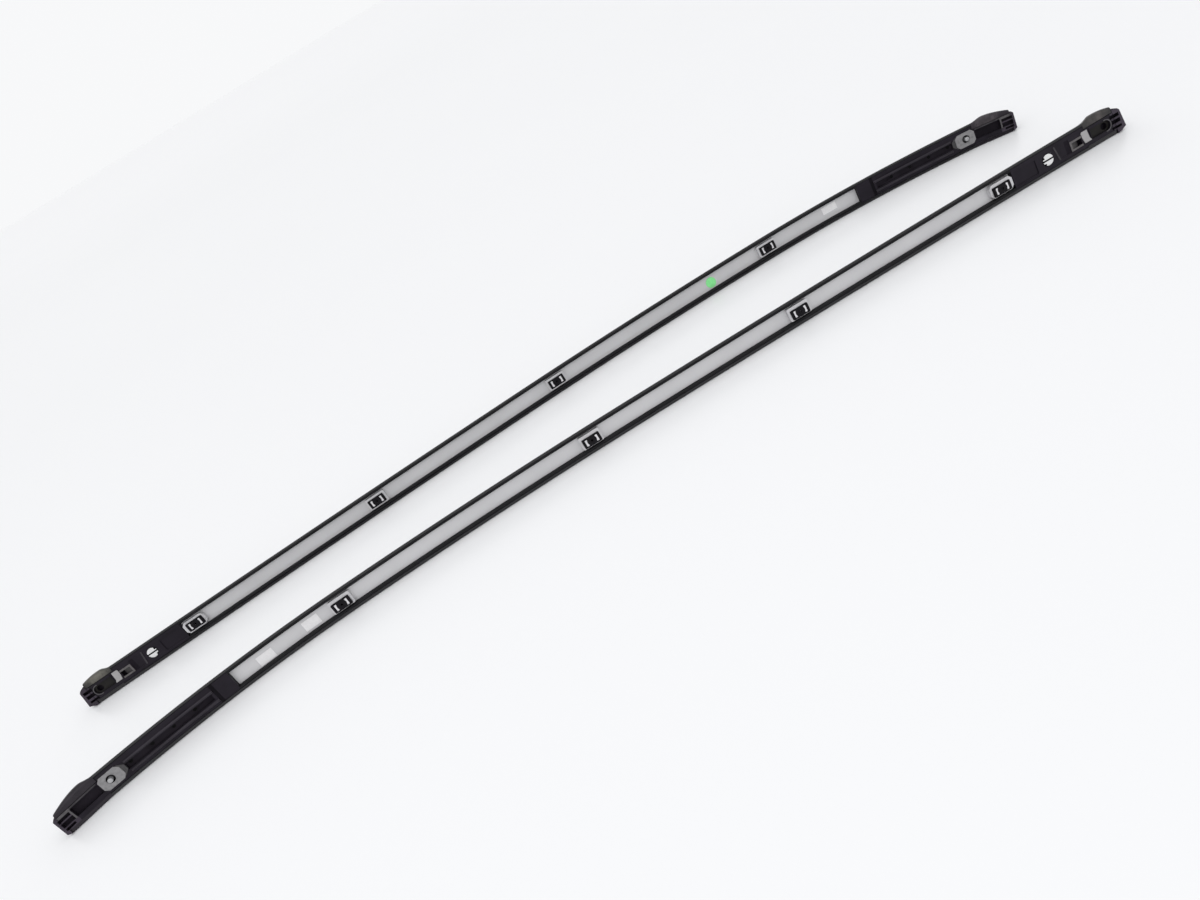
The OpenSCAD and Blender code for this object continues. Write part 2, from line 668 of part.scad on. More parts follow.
module left_front_stud() { on_left() front_stud(); }
module left_front_cover() { on_left() front_cover(); }
module left_rear_foot() { on_left() rear_foot(); }
module left_rear_tab() { on_left() rear_tab(); }
module left_window_frame() { on_left() window_frame(); }
module left_locating_plug() { on_left() locating_plug(); }
module left_rear_cover() { on_left() rear_cover(); }
module left_labels() {
    on_left() {
        for (p = left_labels_at) sticker(p);
    }
}

right_rail_shell();
right_carrier_strip();
right_outer_seal();
right_inner_seal();
right_clip_seats();
right_clip_frames();
right_clip_wings();
right_front_foot();
right_foot_screws();
right_front_plate();
right_front_stud();
right_front_cover();
right_rear_foot();
right_rear_tab();
right_window_frame();
right_locating_plug();
right_rear_cover();
right_label();
right_green_dot();
left_rail_shell();
left_carrier_strip();
left_outer_seal();
left_inner_seal();
left_clip_seats();
left_clip_frames();
left_clip_wings();
left_front_foot();
left_foot_screws();
left_front_plate();
left_front_stud();
left_front_cover();
left_rear_foot();
left_rear_tab();
left_window_frame();
left_locating_plug();
left_rear_cover();
left_labels();
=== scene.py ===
import math

import bmesh
import bpy
import numpy as np
from mathutils import Matrix, Vector

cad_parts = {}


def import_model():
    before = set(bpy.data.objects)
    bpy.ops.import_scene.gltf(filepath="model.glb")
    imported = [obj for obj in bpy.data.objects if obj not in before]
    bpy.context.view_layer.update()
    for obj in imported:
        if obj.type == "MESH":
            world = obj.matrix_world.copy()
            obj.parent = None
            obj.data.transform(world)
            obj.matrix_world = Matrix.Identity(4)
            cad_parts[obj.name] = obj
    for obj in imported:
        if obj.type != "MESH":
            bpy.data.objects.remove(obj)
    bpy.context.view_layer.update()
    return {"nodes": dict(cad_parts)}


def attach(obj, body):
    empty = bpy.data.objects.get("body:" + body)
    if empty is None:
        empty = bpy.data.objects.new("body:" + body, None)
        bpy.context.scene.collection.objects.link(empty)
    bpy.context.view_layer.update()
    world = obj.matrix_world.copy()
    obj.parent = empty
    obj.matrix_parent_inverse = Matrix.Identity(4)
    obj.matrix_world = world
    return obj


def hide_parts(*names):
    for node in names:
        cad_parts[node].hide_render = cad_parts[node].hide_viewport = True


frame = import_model()
nodes = frame["nodes"]

# Lengths are in millimetres, and the functions that hand points to Blender turn them into metres.
# A station s is the distance along the rail from its rear tip, h the depth from the open underside
# towards the crown, and v the distance outwards across the rail.
MM = 0.001

# The rail line: three tangent arcs that join at J1 and J2
R1, R2, R3 = 26500.0, 6500.0, 1870.0
J1, J2, TIP = 928.0, 1465.0, 1960.5
MID = (J2 - J1) / R2

# Ends of the extrusion and of the strip; the front nose droops from the line over a short bend
NOSE, NOSE_TURN, DROOP = TIP - 71, 8.0, math.radians(6)
REAR_END = 66.0
STRIP_FROM, STRIP_TO = 201.5, TIP - 297.5

# The section, rolled onto its inner flank
TILT = math.radians(15)
BASE_W, BASE_SHIFT = 46.3, -0.85
BASE_Z = (BASE_W / 2 - BASE_SHIFT) * math.cos(TILT)
RAIL_H, SHOULDER_R, CROWN_R, CORNER_R = 30, 8, 36, 2.5
CHANNEL_D, CHANNEL_HALF, CHANNEL_LIP = 11, 17.5, 0.5
EDGE_STEPS, SHOULDER_STEPS, CROWN_STEPS = 7, 8, 14

# Each rail's origin on the floor, its turn and its side
POSE = {"right": ((-72.498, 170.567), math.radians(5.204), 1.0),
        "left": ((67.852, -64.463), math.radians(1.296), -1.0)}

# The stud: radius, ends of its thread, where its collar starts, and the thread's pitch and depth
STUD_S, STUD_R, STUD_TOP, STUD_FOOT, COLLAR_H = TIP - 86, 4.0, -8.1, 7.5, 7.0
PITCH, THREAD_D, LEAD_IN = 1.25, 0.62, 0.75

# A copied node's faces that meet at less than FLAT are joined, edges over SHARP are shaded sharp,
# and those over BEVELLED are rounded
FLAT, SHARP, BEVELLED = (math.radians(a) for a in (1, 30, 32))

# The clips, which sit off the middle of the channel by their slip
CLIP_S = (224.8, 605, 998.5, TIP - 493.1)
CLIP_SLIP = {"right": -0.7, "left": -2.0}


def turn(s):
    """Heading of the rail line at the stations, in radians."""
    s = np.asarray(s, float)
    past = np.minimum(s, NOSE) - J2
    droop = DROOP * np.clip((s - NOSE) / NOSE_TURN, 0, 1)
    return np.where(s < J1, (J1 - s) / R1,
                    np.where(s < J2, -(s - J1) / R2, -MID - past / R3 - droop))


def place(s):
    """Position in the floor plane and heading at the stations."""
    s = np.asarray(s, float)
    a = turn(s)
    sx, sy = -np.sin(a), np.cos(a)
    mx, my = math.sin(MID), math.cos(MID)
    x = np.where(s < J1, R1 * sx, np.where(s < J2, R2 * sx, (R2 - R3) * mx + R3 * sx))
    y = np.where(s < J1, R1 * (sy - 1),
                 np.where(s < J2, R2 * (sy - 1), -R2 + (R2 - R3) * my + R3 * sy))
    if np.any(s > NOSE):
        m = float(turn(NOSE))
        d = np.maximum(s - NOSE, 0)
        t = np.minimum(d, NOSE_TURN)
        mid = m - DROOP * t / NOSE_TURN / 2
        x0 = (R2 - R3) * mx - R3 * math.sin(m)
        y0 = -R2 + (R2 - R3) * my + R3 * math.cos(m)
        x = np.where(s > NOSE, x0 + t * np.cos(mid) + (d - t) * np.cos(a), x)
        y = np.where(s > NOSE, y0 + t * np.sin(mid) + (d - t) * np.sin(a), y)
    return x, y, a


def world(side, s, h, v):
    """Points of a rail in the row's frame, in metres."""
    s, h, v = np.broadcast_arrays(np.asarray(s, float), np.asarray(h, float), np.asarray(v, float))
    (px, py), yaw, mirror = POSE[side]
    x0, y0, a = place(s)
    across = h * math.cos(TILT) + v * math.sin(TILT)
    z = v * math.cos(TILT) - h * math.sin(TILT) + BASE_Z
    x = (x0 - across * np.sin(a)) * mirror
    y = y0 + across * np.cos(a)
    return np.stack([px + x * math.cos(yaw) - y * math.sin(yaw),
                     py + x * math.sin(yaw) + y * math.cos(yaw), z], -1) * MM


def link_object(name, data):
    o = bpy.data.objects.new(name, data)
    bpy.context.scene.collection.objects.link(o)
    return o


def mesh_object(name, points, faces, smooth=None):
    """Object from points in metres; smooth is the angle in degrees above which an edge is sharp."""
    me = bpy.data.meshes.new(name)
    me.from_pydata([tuple(p) for p in np.asarray(points, float)], [], faces)
    bm = bmesh.new()
    bm.from_mesh(me)
    bmesh.ops.remove_doubles(bm, verts=bm.verts, dist=1e-7)
    bmesh.ops.recalc_face_normals(bm, faces=bm.faces)
    bm.to_mesh(me)
    bm.free()
    if smooth is not None:
        me.shade_smooth()
        me.set_sharp_from_angle(angle=math.radians(smooth))
    return link_object(name, me)


def tube(name, rings, smooth):
    """Closed skin over rings that all have the same number of points."""
    n, last = len(rings[0]), len(rings) - 1
    faces = [(i * n + j, i * n + (j + 1) % n, (i + 1) * n + (j + 1) % n, (i + 1) * n + j)
             for i in range(last) for j in range(n)]
    faces += [tuple(range(n)), tuple(last * n + j for j in reversed(range(n)))]
    return mesh_object(name, np.concatenate(rings), faces, smooth)


def sweep(name, side, section, first, last, smooth):
    """Closed section of (h, v) points swept between two stations, in steps for each arc."""
    section = np.asarray(section, float)
    stations = np.concatenate([np.linspace(first, J1, 24, endpoint=False),
                               np.linspace(J1, J2, 26, endpoint=False),
                               np.linspace(J2, last, 48)])
    return tube(name, world(side, stations[:, None], section[:, 0], section[:, 1]), smooth)


def dress(o, key):
    """Give an object the material of that key, and hang it under the root body."""
    o.data.materials.clear()
    o.data.materials.append(M[key])
    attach(o, "root")
    return o


def copy_node(node, key, bevel):
    """A dressed copy of a plain node, with its edges rounded by the bevel in millimetres."""
    me = nodes[node].data.copy()
    me.name = node + "_skin"
    bm = bmesh.new()
    bm.from_mesh(me)
    bmesh.ops.remove_doubles(bm, verts=bm.verts, dist=2e-6)
    bmesh.ops.dissolve_limit(bm, angle_limit=FLAT, verts=bm.verts, edges=bm.edges)
    bm.to_mesh(me)
    bm.free()
    me.materials.clear()
    me.shade_smooth()
    me.set_sharp_from_angle(angle=SHARP)
    o = link_object(me.name, me)
    if bevel:
        edges = o.modifiers.new("edges", "BEVEL")
        edges.width = bevel * MM
        edges.segments = 2
        edges.limit_method = "ANGLE"
        edges.angle_limit = BEVELLED
        edges.harden_normals = True
    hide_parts(node)
    return dress(o, key)


class Local:
    """Millimetres along, deep and outwards from the rail line at a station, for picking faces."""

    def __init__(self, side, s):
        self.o = world(side, s, 0, 0)
        self.f = world(side, s + 0.5, 0, 0) - world(side, s - 0.5, 0, 0)
        self.h = world(side, s, 1, 0) - self.o
        self.v = world(side, s, 0, 1) - self.o
        self.f /= np.linalg.norm(self.f) * 1000

    def __call__(self, p):
        d = np.array(p) - self.o
        return [float(d @ k) * 1e6 for k in (self.f, self.h, self.v)]

    def deep(self, n):
        """Share of a normal that points from the underside towards the crown."""
        return float(np.array(n) @ self.h) * 1000


def split(o, side, stations):
    """Cut the faces of a copy across the rail, so that a band of them can be painted."""
    bm = bmesh.new()
    bm.from_mesh(o.data)
    for s in stations:
        loc = Local(side, s)
        bmesh.ops.bisect_plane(bm, geom=bm.verts[:] + bm.edges[:] + bm.faces[:],
                               plane_co=loc.o, plane_no=loc.f)
    bm.to_mesh(o.data)
    bm.free()


def split_out(o, side, s, reach, cuts):
    """The same along the rail at outward distances, for the faces within reach of a station."""
    loc = Local(side, s)
    bm = bmesh.new()
    bm.from_mesh(o.data)
    for v in cuts:
        faces = [f for f in bm.faces if abs(loc(f.calc_center_median())[0]) < reach]
        geom = faces + list({e for f in faces for e in f.edges})
        geom += list({k for f in faces for k in f.verts})
        bmesh.ops.bisect_plane(bm, geom=geom, plane_co=loc.o + loc.v * v, plane_no=loc.v)
    bm.to_mesh(o.data)
    bm.free()


def more(x):
    return x, math.inf


def less(x):
    return -math.inf, x


ANY = less(math.inf)


def box(s=ANY, h=ANY, v=ANY, n=ANY):
    """Test for faces whose middle and depth share of the normal lie within limits."""
    limits = (s, h, v, n)
    return lambda *values: all(lo < x < hi for x, (lo, hi) in zip(values, limits))


def paint(o, side, s, rules, bend=math.inf):
    """Give the faces that pass a test another material: rules are (key of M, test).

    A bend radius straightens the depths along a curved face before they are tested."""
    loc = Local(side, s)
    used = o.data.materials
    for key, test in rules:
        if M[key] not in list(used):
            used.append(M[key])
        index = list(used).index(M[key])
        for f in o.data.polygons:
            along, deep, out = loc(f.center)
            if test(along, deep + along * along / (2 * bend), out, loc.deep(f.normal)):
                f.material_index = index


def arc(centre, r, first, last, steps):
    """Points of an arc between two angles in degrees."""
    a = np.radians(np.linspace(first, last, steps + 1))
    return np.stack([centre[0] + r * np.cos(a), centre[1] + r * np.sin(a)], -1)


def outline(half, top, corner, fine=1):
    """Outside of the section: lower corners, leaning flanks, shoulders and crown."""
    lean = math.degrees(TILT)
    # the shoulder's circle touches the flank, and the crown from inside
    slope, start = math.tan(TILT), half - SHOULDER_R / math.cos(TILT)
    crown_h, reach = top - CROWN_R, CROWN_R - SHOULDER_R
    a = 1 + slope * slope
    b = -2 * crown_h - 2 * start * slope
    c = crown_h * crown_h + start * start - reach * reach
    h = (-b + math.sqrt(b * b - 4 * a * c)) / (2 * a)
    shoulder = (h, start - slope * h)
    low = (corner, half - corner * (1 + math.sin(TILT)) / math.cos(TILT))
    end = math.degrees(math.atan2(shoulder[1], shoulder[0] - crown_h))
    flank = np.concatenate([arc(low, corner, 180, 90 - lean, EDGE_STEPS * fine),
                            arc(shoulder, SHOULDER_R, 90 - lean, end, SHOULDER_STEPS * fine)])
    crown = arc((crown_h, 0), CROWN_R, end, -end, CROWN_STEPS * fine)[1:-1]
    return np.concatenate([flank, crown, flank[::-1] * [1, -1]])


def add(tree, kind, inputs=None, **settings):
    """A new shader node with its settings and the values of its inputs."""
    node = tree.nodes.new("ShaderNode" + kind)
    for key, value in settings.items():
        setattr(node, key, value)
    for key, value in (inputs or {}).items():
        node.inputs[key].default_value = value
    return node


# The colour sockets of a Mix node
MIX_A, MIX_B, MIX_OUT = 6, 7, 2


def dust_and_sheen(tree, place_out, color_out, spot):
    """A patch round a point of the object, lighter from dust and from a painted sheen, which fades
    into the darker colour.
    """
    centre, reach, dark = spot
    away = add(tree, "VectorMath", {1: centre}, operation="SUBTRACT")
    size = add(tree, "VectorMath", {1: reach}, operation="DIVIDE")
    far = add(tree, "VectorMath", operation="LENGTH")
    fade = add(tree, "MapRange", {"From Min": 1.15, "From Max": 0.45}, interpolation_type="SMOOTHSTEP")
    mix = add(tree, "Mix", data_type="RGBA")
    mix.inputs[MIX_A].default_value = (*dark, 1)
    for start, end in ((place_out, away.inputs[0]), (away.outputs[0], size.inputs[0]),
                       (size.outputs[0], far.inputs[0]), (far.outputs["Value"], fade.inputs["Value"]),
                       (fade.outputs[0], mix.inputs[0]), (color_out, mix.inputs[MIX_B])):
        tree.links.new(start, end)
    return mix.outputs[MIX_OUT]


def material(name, base, rough, metal=0.0, vary=0.12, scale=40.0, bump=0.05, grain=900.0,
             rough_vary=0.08, spec=0.5, tint=None, spot=None):
    """Cloudy colour, smeared roughness and a fine grain, all from the object's own coordinates."""
    m = bpy.data.materials.new(name)
    m.use_nodes = True
    tree = m.node_tree
    tree.nodes.clear()
    link = tree.links.new
    shader = add(tree, "BsdfPrincipled", {"Metallic": metal, "Specular IOR Level": spec})
    if tint:
        shader.inputs["Specular Tint"].default_value = (*tint, 1)
    link(shader.outputs[0], add(tree, "OutputMaterial").inputs[0])
    spots = add(tree, "TexCoord").outputs["Object"]

    cloud = add(tree, "TexNoise", {"Scale": scale, "Detail": 4})
    link(spots, cloud.inputs["Vector"])
    ramp = add(tree, "ValToRGB")
    for element, position, factor in zip(ramp.color_ramp.elements, (0.3, 0.7), (1 - vary, 1 + vary)):
        element.position = position
        element.color = (*[min(1, c * factor) for c in base], 1)
    link(cloud.outputs["Fac"], ramp.inputs["Fac"])
    color = ramp.outputs["Color"]
    link(dust_and_sheen(tree, spots, color, spot) if spot else color, shader.inputs["Base Color"])

    smear = add(tree, "TexNoise", {"Scale": scale * 0.6, "Detail": 6})
    link(spots, smear.inputs["Vector"])
    spread = add(tree, "MapRange", {"From Min": 0.3, "From Max": 0.7,
                                    "To Min": max(0.02, rough - rough_vary),
                                    "To Max": min(1, rough + rough_vary)})
    link(smear.outputs["Fac"], spread.inputs["Value"])
    link(spread.outputs[0], shader.inputs["Roughness"])

    fine = add(tree, "TexNoise", {"Scale": grain, "Detail": 2})
    link(spots, fine.inputs["Vector"])
    relief = add(tree, "Bump", {"Strength": bump, "Distance": 0.0003})
    link(fine.outputs["Fac"], relief.inputs["Height"])
    link(relief.outputs[0], shader.inputs["Normal"])
    return m


def moulded(name, base, rough, vary=0.3, **more):
    """The same with the faint violet sheen of the black mouldings."""
    return material(name, base, rough, vary=vary, tint=(0.96, 0.88, 1.0), **more)


M = {
    "gloss": material("gloss_black", (0.0055, 0.0053, 0.0068), 0.24, bump=0.03, grain=420, vary=0.3),
    "strip": material("strip_silver", (0.66, 0.655, 0.665), 0.5, metal=0.1, vary=0.03, scale=14,
                      grain=2500),
    "seal": material("seal_rubber", (0.008, 0.008, 0.0095), 0.65, spec=0.2, bump=0.12, grain=1600,
                     vary=0.25),
    "seat": material("seat_silver", (0.62, 0.615, 0.63), 0.42, metal=0.1, vary=0.05, scale=120),
    "clip": material("clip_black", (0.0062, 0.0055, 0.0075), 0.55, spec=0.13, bump=0.08,
                     grain=1500, vary=0.3),
    "nylon": material("nylon_white", (0.78, 0.78, 0.78), 0.45, vary=0.03, scale=150),
    "wing": material("wing_white", (0.86, 0.85, 0.87), 0.5, vary=0.04, scale=300),
    "foot": moulded("foot_black", (0.0090, 0.0074, 0.0112), 0.5, spec=0.22, bump=0.25, grain=2200),
    # a glossier finish whose lighter colour is a painted highlight on the trough's ridge tops
    "satin_highlight": moulded("foot_satin_painted_highlight", (0.0150, 0.0130, 0.0172), 0.36, spec=0.42, bump=0.2,
                     grain=1800),
    "trough": moulded("foot_trough", (0.0092, 0.0075, 0.0110), 0.6, spec=0.12, bump=0.2,
                      grain=2200),
    "bay": moulded("foot_bay", (0.0128, 0.0106, 0.0146), 0.6, vary=0.35, spec=0.13, bump=0.2,
                   grain=2200),
    # painted shade for the dark line at the step where the front trough starts
    "dark": moulded("painted_step_shade", (0.0040, 0.0034, 0.0048), 0.6, spec=0.1, bump=0.1, grain=2200),
    # near-black painted shade for the insides of holes and slots
    "deep": material("painted_hole_shade", (0.0012, 0.001, 0.0015), 0.8, spec=0.03, bump=0.1, grain=2200,
                     vary=0.3),
    # painted highlight for edges that catch the light
    "rim": material("foot_painted_edge_highlight", (0.075, 0.07, 0.074), 0.45, spec=0.4, bump=0.3,
                    grain=1200, vary=0.3, scale=150),
    # painted highlight for a thin lit line and a rib
    "line_highlight": material("foot_painted_line_highlight", (0.042, 0.038, 0.043), 0.5, spec=0.3, bump=0.3, grain=1200,
                      vary=0.4, scale=120),
    # the foot's plastic, lightened on the end blocks as painted light
    "block": moulded("end_block_painted_light", (0.040, 0.033, 0.044), 0.5, vary=0.35, spec=0.25, bump=0.2,
                     grain=1500),
    "pocket": material("pocket_floor", (0.013, 0.0115, 0.0105), 0.5, spec=0.2, bump=0.25,
                       grain=1500, vary=0.4),
    "screw": material("screw_black", (0.002, 0.002, 0.0025), 0.5, spec=0.1),
    "plate": material("zinc_plate", (0.25, 0.245, 0.25), 0.46, metal=0.2, vary=0.2, scale=200,
                      rough_vary=0.12, bump=0.15),
    "lip": material("zinc_plate_shade", (0.05, 0.048, 0.05), 0.5, metal=0.2, vary=0.2, scale=200,
                    bump=0.15),
    "stud": material("stud_zinc", (0.42, 0.42, 0.43), 0.3, metal=0.75, vary=0.1, scale=200),
    # the stud's zinc, darkened as painted shade on the thread's side
    "thread": material("stud_thread_painted_shade", (0.12, 0.12, 0.125), 0.4, metal=0.5, vary=0.2, scale=200),
    "tab": material("tab_grey", (0.37, 0.36, 0.36), 0.5, metal=0.1, vary=0.06, scale=160),
    "tan": material("frame_tan", (0.105, 0.097, 0.098), 0.5, vary=0.2, scale=200),
    "slope": material("window_slope", (0.045, 0.042, 0.042), 0.5, vary=0.25, scale=160),
    "label": material("label_white", (0.88, 0.87, 0.875), 0.55, vary=0.04, scale=300, bump=0.35,
                      grain=260),
    "green": material("dot_green", (0.29, 0.98, 0.35), 0.6, vary=0.08, scale=200),
}
# The covers' lobes are lighter from dust and from a painted sheen, more so on the right rail. A spot
# is a middle and reach in metres and the colour beyond it.
REAR_DUST_AND_SHEEN = {"right": (0.080, 0.075, 0.062), "left": (0.042, 0.036, 0.034)}
FRONT_DUST_AND_SHEEN = {"right": (0.040, 0.035, 0.037), "left": (0.009, 0.008, 0.0095)}
for side in ("right", "left"):
    M["rear_" + side] = material(
        "rear_cover_" + side, REAR_DUST_AND_SHEEN[side], 0.32, bump=0.1, grain=600, vary=0.7, scale=85,
        spot=(tuple(world(side, 41, 2, 20)), (0.027, 0.015, 0.015), (0.007, 0.006, 0.007)))
    M["front_" + side] = moulded(
        "front_cover_" + side, FRONT_DUST_AND_SHEEN[side], 0.3, vary=0.6, spec=0.42, bump=0.08, grain=700,
        scale=80,
        spot=(tuple(world(side, 1914, 2, 17)), (0.030, 0.016, 0.014), (0.0072, 0.0062, 0.0080)))

# The covers: start and length, where the lobe is widest and how far it stands out, outward distance
# at the tip, bow of the edge towards it, height at the tip, direction, and the foot slot's far side
COVERS = {
    "front": (NOSE + 0.02, TIP - 4.95 - NOSE - 0.02, 22, 5.0, 17, 1.8, 16, 1, 10.5),
    "rear": (REAR_END - 0.02, REAR_END - 13.67, 20, 5.6, 22.6, 2.4, 18, -1, 12.5),
}
SLOT_NEAR, SLOT_LIP, SLOT_D = -16.8, 0.4, 11.3
# From the share CLOSE_AT of its length a cover closes in on itself by CLOSE_BY
CLOSE_AT, CLOSE_BY = 0.985, 0.45
# The lobe's lower corner has at most the radius LOBE_R, and leaves LOBE_WALL beside the slot
LOBE_R, LOBE_WALL, LOBE_EASE_H, LOBE_EASE = 7.0, 0.8, 11, 1.4
# A corner takes this many times its radius across the leaning flank
CORNER_REACH = 1.32
CROWN_BOW = 1.7


def cover(side, end):
    """End cover: a skin lofted over the swelling lower edge, open where the foot goes in."""
    start, length, crest_at, crest, tip_v, bow, tip_h, sign, slot_far = COVERS[end]
    outer, inner = BASE_W / 2 + BASE_SHIFT, BASE_W / 2 - BASE_SHIFT
    fine = 2
    edge_end = EDGE_STEPS * fine + 1
    flank_end = edge_end + SHOULDER_STEPS * fine
    slot = np.array([[0, SLOT_NEAR], [SLOT_LIP, SLOT_NEAR], [SLOT_D, SLOT_NEAR],
                     [SLOT_D, slot_far], [SLOT_LIP, slot_far], [0, slot_far]])
    rings = []
    for t in np.concatenate([np.linspace(0, CLOSE_AT, 44), [0.992, 0.997, 1.0]]):
        d = t * length
        rise = math.sin(math.pi / 2 * min(1, d / crest_at)) ** 2
        if d < crest_at:
            edge = outer + crest * rise
        else:
            fall = ((d - crest_at) / (length - crest_at)) ** bow
            edge = outer + crest + (tip_v - outer - crest) * fall
        kept = min(edge, outer)
        shrink = max(0.0, (t - CLOSE_AT) / (1 - CLOSE_AT)) ** 2 * CLOSE_BY
        half = (kept + inner) / 2 - shrink
        top = RAIL_H + (tip_h - RAIL_H) * (d / length) ** CROWN_BOW - shrink
        widest = min(LOBE_R, (edge - slot_far - LOBE_WALL) / CORNER_REACH)
        corner = CORNER_R + (widest - CORNER_R) * rise * (1 - t ** 4)
        ring = outline(half, top, corner, fine)
        plain = outline(half, top, CORNER_R, fine)
        ring = np.concatenate([ring[:len(ring) // 2], plain[len(ring) // 2:]])
        # the outer flank eases from the lobe back to the shoulder
        ease = np.clip(1 - (ring[:, 0] - corner) / LOBE_EASE_H, 0, 1) ** LOBE_EASE
        swell = np.zeros(len(ring))
        swell[:edge_end] = edge - kept
        swell[edge_end:flank_end] = (edge - kept) * ease[edge_end:flank_end]
        ring = np.stack([ring[:, 0], ring[:, 1] + (kept - inner) / 2 + swell], -1)
        ring = np.concatenate([ring, slot])
        rings.append(world(side, start + sign * d, ring[:, 0], ring[:, 1]))
    o = tube(side + "_" + end + "_cover_skin", rings, 38)
    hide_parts(side + "_" + end + "_cover")
    dress(o, end + "_" + side)


def stud(side):
    """Stud with a rolled thread, inside the plain pin of the solid, on a copy of its collar."""
    n, rows_a_turn = 40, 8
    rows = int((STUD_FOOT - STUD_TOP) / PITCH * rows_a_turn)
    share = np.arange(n) / n
    a = 2 * math.pi * share
    rings = []
    for i in range(rows + 1):
        down = (STUD_FOOT - STUD_TOP) * i / rows
        h = STUD_TOP + down
        wave = abs((down / PITCH + share) % 1 - 0.5) * 2
        r = STUD_R - THREAD_D * wave - max(0, 1 - down) * LEAD_IN
        along = world(side, STUD_S + 0.5, h, 0) - world(side, STUD_S - 0.5, h, 0)
        rings.append(world(side, STUD_S, h, r * np.sin(a)) + along * (r * np.cos(a))[:, None])
    # the thread's side has painted shade, and its end the bright zinc
    o = dress(tube(side + "_stud_thread_painted_shade", rings, 50), "thread")
    paint(o, side, STUD_S, BRIGHT_END)

    collar = copy_node(side + "_front_stud", "stud", 0)
    loc = Local(side, STUD_S)
    bm = bmesh.new()
    bm.from_mesh(collar.data)
    bmesh.ops.delete(bm, geom=[v for v in bm.verts if loc(v.co)[1] < COLLAR_H],
                     context="VERTS")
    bm.to_mesh(collar.data)
    bm.free()
    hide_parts(side + "_front_stud")


def sockets(side):
    """Near-black discs at the bottoms of the holes in the clip frames, as painted shade."""
    n, r, top, bottom = 24, 2.0, -1.05, -1.6
    a = np.radians(np.arange(0, 360, 360 // n))
    pts, faces = [], []
    for s in CLIP_S:
        first = len(pts)
        for h in (top, bottom):
            faces.append([len(pts) + k for k in range(n)])
            pts += list(world(side, s + r * np.cos(a), h, CLIP_SLIP[side] + r * np.sin(a)))
        faces += [[first + k, first + (k + 1) % n, first + n + (k + 1) % n, first + n + k]
                  for k in range(n)]
    dress(mesh_object(side + "_clip_hole_shade", pts, faces), "deep")


def extrusion(side):
    """Shell, strip and seals, swept along the rail line."""
    shell = outline(BASE_W / 2, RAIL_H, CORNER_R) + [0, BASE_SHIFT]
    wide = CHANNEL_HALF + CHANNEL_LIP
    channel = np.array([[0, -wide], [CHANNEL_LIP, -CHANNEL_HALF], [CHANNEL_D, -CHANNEL_HALF],
                        [CHANNEL_D, CHANNEL_HALF], [CHANNEL_LIP, CHANNEL_HALF], [0, wide]])
    o = sweep(side + "_shell_skin", side, np.concatenate([shell, channel]), REAR_END, NOSE, 30)
    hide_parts(side + "_rail_shell")
    dress(o, "gloss")

    floor_h, face_h, half, edge = CHANNEL_D - 0.02, 8.98, 13.57, 0.32
    strip = np.array([[floor_h, -half], [face_h + edge, -half], [face_h, edge - half],
                      [face_h, half - edge], [face_h + edge, half], [floor_h, half]])
    o = sweep(side + "_strip_skin", side, strip, STRIP_FROM, STRIP_TO, 40)
    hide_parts(side + "_carrier_strip")
    dress(o, "strip")

    width, lip = 3.83, 0.9
    for hand, name in ((1, "outer_seal"), (-1, "inner_seal")):
        middle = hand * (CHANNEL_HALF - 0.02 - width / 2)
        body = np.concatenate([[[floor_h, -width / 2], [floor_h, width / 2]],
                               arc((width / 2 - lip, 0), width / 2, 90, 270, 14)]) + [0, middle]
        o = sweep(side + "_" + name + "_skin", side, body, STRIP_FROM, STRIP_TO, 50)
        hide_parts(side + "_" + name)
        dress(o, "seal")


# Copied nodes: name, material and bevel
COPIES = (("clip_seats", "seat", 0.5), ("clip_frames", "clip", 0.35), ("clip_wings", "wing", 0.2),
          ("front_foot", "foot", 0.4), ("foot_screws", "screw", 0.15), ("front_plate", "plate", 0.3),
          ("rear_foot", "foot", 0.4), ("rear_tab", "tab", 0.25), ("window_frame", "tan", 0.3),
          ("locating_plug", "nylon", 0.4))

# Zones of the front foot and its plate, each group seen from one station
BLOCK_S, TROUGH_S, LEDGE_S, PLATE_S = 1946, 1773, 1915, 1874
FRONT_CUTS, LEDGE_REACH, LEDGE_CUTS = (1689.8, 1695.8, 1936.5, 1893.5), 21.6, (7.35, 9.45)
FRONT_TIP = (
    ("bay", box(s=more(-54), h=more(0.4), v=(-17, 17))),
    # the end block, lightened to stand in for the light on it
    ("block", box(s=more(-9), h=less(0.3))),
    # the pocket's end wall, painted as a thin highlight line
    ("rim", box(s=(-9.4, -6.2), h=less(0), v=(-10, 7.6))))
FRONT_TROUGH = (
    # a narrow band painted dark as the shade at the step where the trough starts
    ("dark", box(s=(-84, -77.4), h=less(0))),
    # the trough's ridge tops, painted lighter as a highlight
    ("satin_highlight", box(s=(-78, 76), h=less(-0.75), v=(-14, 9.6))),
    ("bay", box(s=(-78, 76), h=more(0.5), v=(-7.6, 3.6))))
# a thin line along the pocket's top edge, painted as a highlight
FRONT_LEDGE = (("line_highlight", box(s=(-22, 21.6), h=less(0.2), v=(7.2, 9.6))),)
# only the stud's end keeps the bright zinc; its side has painted shade
BRIGHT_END = (("stud", box(h=less(STUD_TOP + 0.9))),)
# the foot round the stud is painted near-black as the shade in its hole
STUD_HOLE = (("deep", lambda s, h, v, n: math.hypot(s, v) < 7 and h > -0.3),)
PLATE_LIP = (("lip", box(s=less(-12), h=more(-1.2))),)

